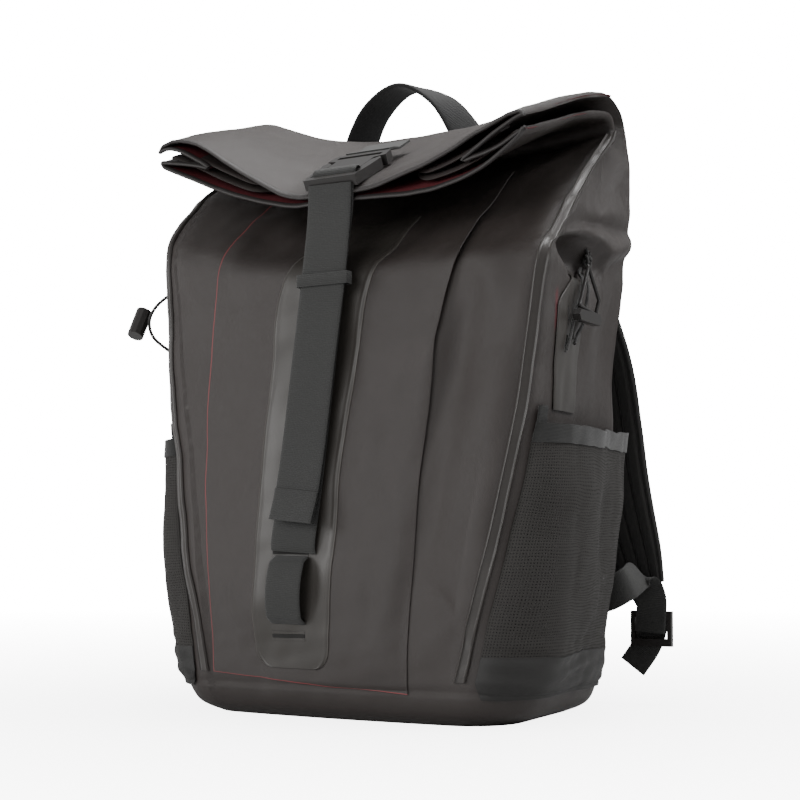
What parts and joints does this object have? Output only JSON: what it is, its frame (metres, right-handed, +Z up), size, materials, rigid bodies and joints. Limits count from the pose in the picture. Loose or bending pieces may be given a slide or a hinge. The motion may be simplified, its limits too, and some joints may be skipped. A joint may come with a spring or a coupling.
{
  "type": "roll-top bicycle messenger backpack",
  "caption": "Roll-top cycling backpack in coated fabric, with a webbing closure strap and side-release buckle, net side pockets, a carrying handle and padded shoulder straps.",
  "frame": {"origin": "middle of the flat underside that the pack stands on", "axes": "+Z up, front with the closure strap towards -Y, the wearer's back towards +Y"},
  "size_m": [0.38, 0.2632, 0.5162],
  "materials": {
    "coated_fabric": "satin",
    "overlay_fabric": "satin",
    "patch_fabric": "satin",
    "netting": "matte",
    "padding": "matte",
    "plastic": "satin",
    "cord": "matte",
    "webbing": "matte"
  },
  "bodies": {
    "root": {"anchor_tab_left": "coated_fabric", "anchor_tab_right": "coated_fabric", "back_panel": "padding", "body_back": "coated_fabric", "body_base": "coated_fabric", "body_front": "coated_fabric", "body_left": "coated_fabric", "body_right": "coated_fabric", "body_roll": "coated_fabric", "buckle_anchor": "webbing", "buckle_female": "plastic", "buckle_male": "plastic", "closure_strap": "webbing", "cord_knot_right": "cord", "cord_lock_left": "plastic", "cord_toggle_right": "plastic", "corner_flange_left": "coated_fabric", "corner_flange_right": "coated_fabric", "front_overlay": "overlay_fabric", "ladder_lock_left": "plastic", "ladder_lock_right": "plastic", "light_loop": "webbing", "lock_patch": "patch_fabric", "lower_webbing_left": "webbing", "lower_webbing_right": "webbing", "net_pocket_left": "netting", "net_pocket_right": "netting", "pocket_binding_left": "webbing", "pocket_binding_right": "webbing", "shoulder_strap_left": "padding", "shoulder_strap_right": "padding", "side_cord_left": "cord", "side_cord_right_front": "cord", "side_cord_right_rear": "cord", "side_patch_left": "patch_fabric", "side_patch_right": "patch_fabric", "strap_end_left": "webbing", "strap_end_right": "webbing", "strap_keeper": "webbing", "strap_tail": "webbing", "top_handle": "webbing", "webbing_tail_left": "webbing", "webbing_tail_right": "webbing"}
  },
  "joints": []
}
